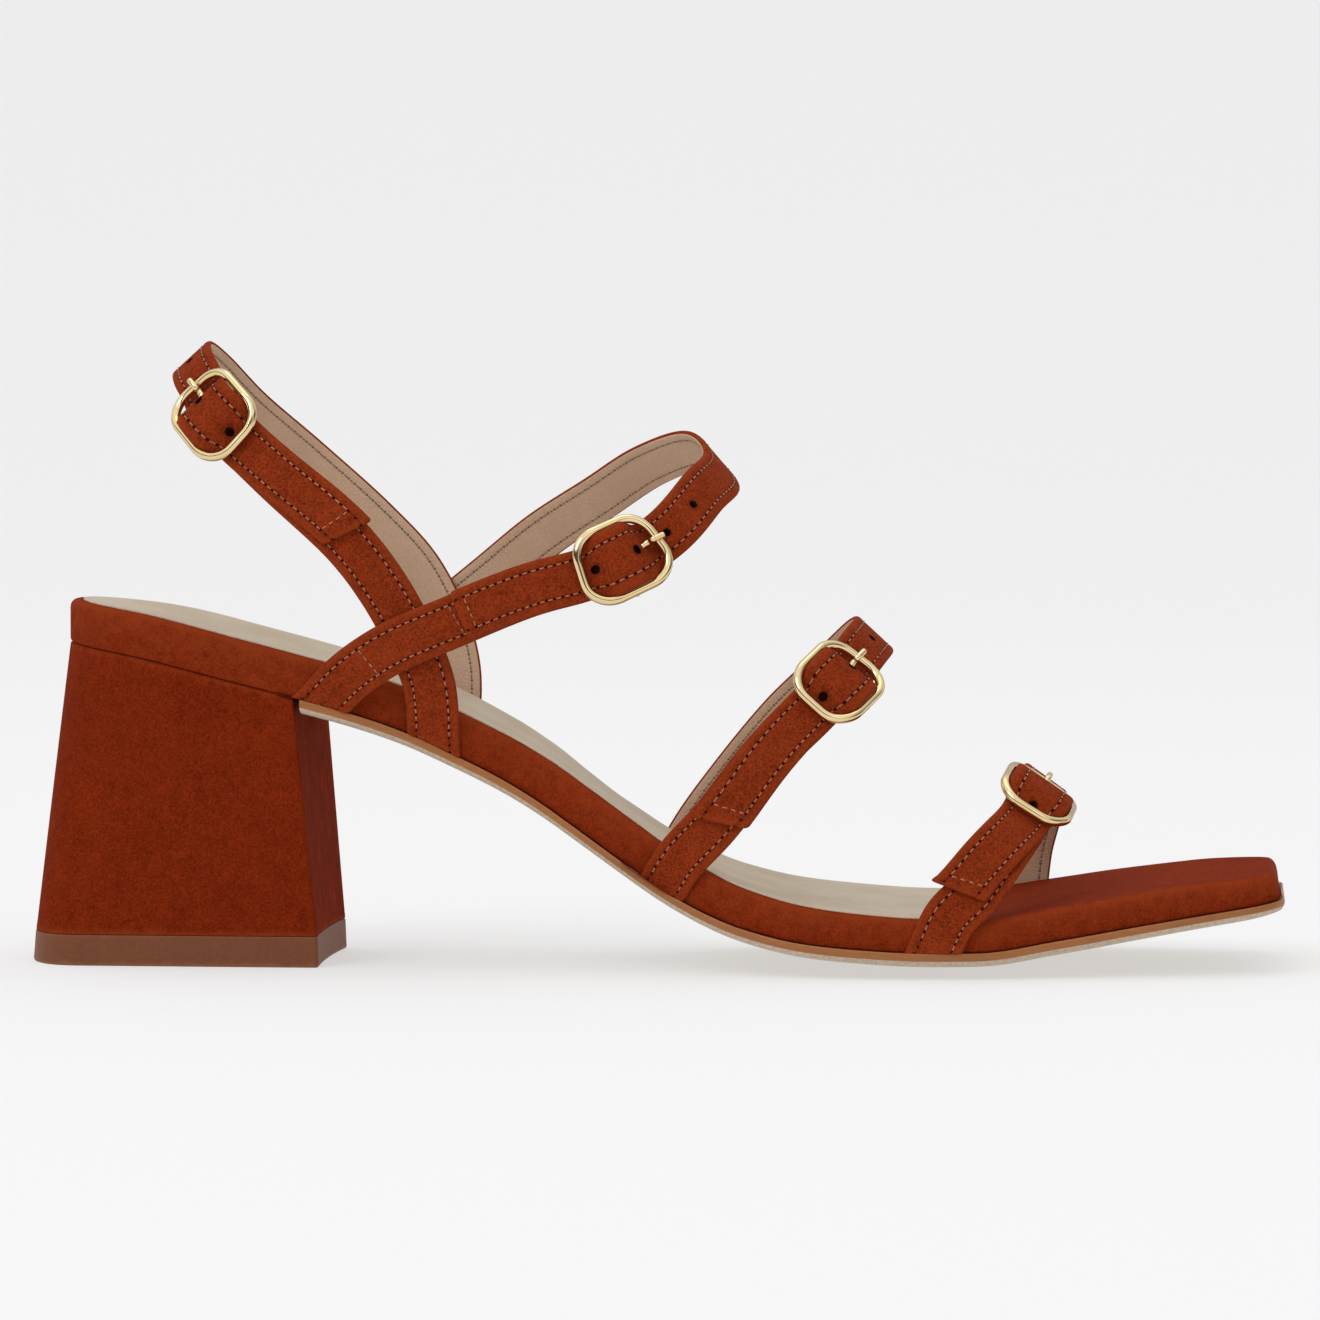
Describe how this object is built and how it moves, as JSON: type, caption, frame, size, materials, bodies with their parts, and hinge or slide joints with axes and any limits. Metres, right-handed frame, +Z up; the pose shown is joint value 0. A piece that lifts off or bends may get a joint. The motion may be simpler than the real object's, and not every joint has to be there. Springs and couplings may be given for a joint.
{
  "type": "heeled sandal",
  "caption": "Heeled sandal with a covered block heel, a wrapped footbed with a square open toe, and narrow straps closed by centre-bar buckles.",
  "frame": {"origin": "on the floor, in the middle of the heel top piece's resting face", "axes": "+X along the sandal towards the toe, +Y towards the inner (medial) side of a right foot, +Z up"},
  "size_m": [0.2415, 0.0799, 0.1193],
  "materials": {
    "suede": "rust suede",
    "sock_leather": "smooth beige",
    "sole": "tan edge, satin",
    "top_piece": "brown, satin",
    "gold_metal": "pale gold, polished"
  },
  "bodies": {
    "root": {"footbed": "suede", "insole_sock": "sock_leather", "outsole": "sole", "heel_block": "suede", "heel_top_piece": "top_piece", "upper_ankle_lateral": "suede", "upper_ankle_medial": "suede", "strap_middle_lateral": "suede", "strap_middle_medial": "suede", "strap_toe_lateral": "suede", "strap_toe_medial": "suede", "buckle_frame_rear": "gold_metal", "buckle_prong_rear": "gold_metal", "buckle_frame_instep": "gold_metal", "buckle_prong_instep": "gold_metal", "buckle_frame_middle": "gold_metal", "buckle_prong_middle": "gold_metal", "buckle_frame_toe": "gold_metal", "buckle_prong_toe": "gold_metal"}
  },
  "joints": []
}
